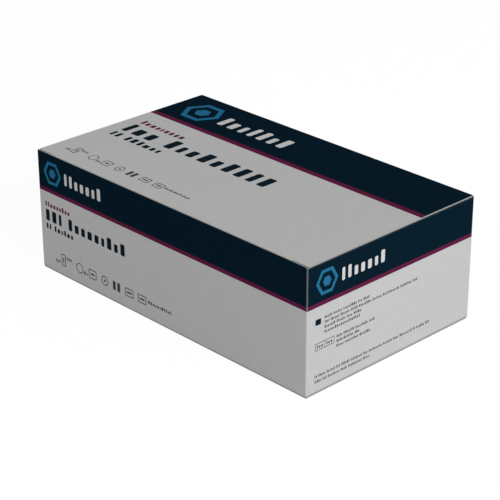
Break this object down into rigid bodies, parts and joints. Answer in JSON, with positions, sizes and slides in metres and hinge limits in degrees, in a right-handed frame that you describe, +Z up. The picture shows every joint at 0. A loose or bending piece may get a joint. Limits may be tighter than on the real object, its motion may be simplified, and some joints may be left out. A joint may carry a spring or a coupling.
{
  "type": "folding carton of lateral flow test cassettes",
  "caption": "Closed folding carton of white coated board with a dark printed band, a hinged tuck-in lid, sealed foil test pouches on edge and a folded leaflet inside.",
  "frame": {"origin": "middle of the base, on the surface that the carton stands on", "axes": "+X along the long side towards the right end wall, -Y out of the printed long front wall, +Z up; the lid's crease is along the top of the back wall at +Y"},
  "size_m": [0.18, 0.1064, 0.0618],
  "materials": {
    "coated_board": "satin",
    "foil_laminate": "gloss",
    "leaflet_paper": "matte"
  },
  "bodies": {
    "carton": {"carton": "coated_board", "pouch_01": "foil_laminate", "pouch_02": "foil_laminate", "pouch_03": "foil_laminate", "pouch_04": "foil_laminate", "pouch_05": "foil_laminate", "pouch_06": "foil_laminate", "pouch_07": "foil_laminate", "pouch_08": "foil_laminate", "pouch_09": "foil_laminate", "pouch_10": "foil_laminate", "pouch_11": "foil_laminate", "pouch_12": "foil_laminate", "pouch_13": "foil_laminate", "pouch_14": "foil_laminate", "pouch_15": "foil_laminate", "pouch_16": "foil_laminate", "pouch_17": "foil_laminate", "pouch_18": "foil_laminate", "pouch_19": "foil_laminate", "pouch_20": "foil_laminate", "leaflet": "leaflet_paper"},
    "lid": {"lid": "coated_board"}
  },
  "joints": [
    {"name": "lid_hinge", "type": "hinge", "parent": "carton", "child": "lid", "pos_m": [0, 0.0532, 0.0613], "axis": [-1, 0, 0], "range_deg": [0, 180]}
  ]
}
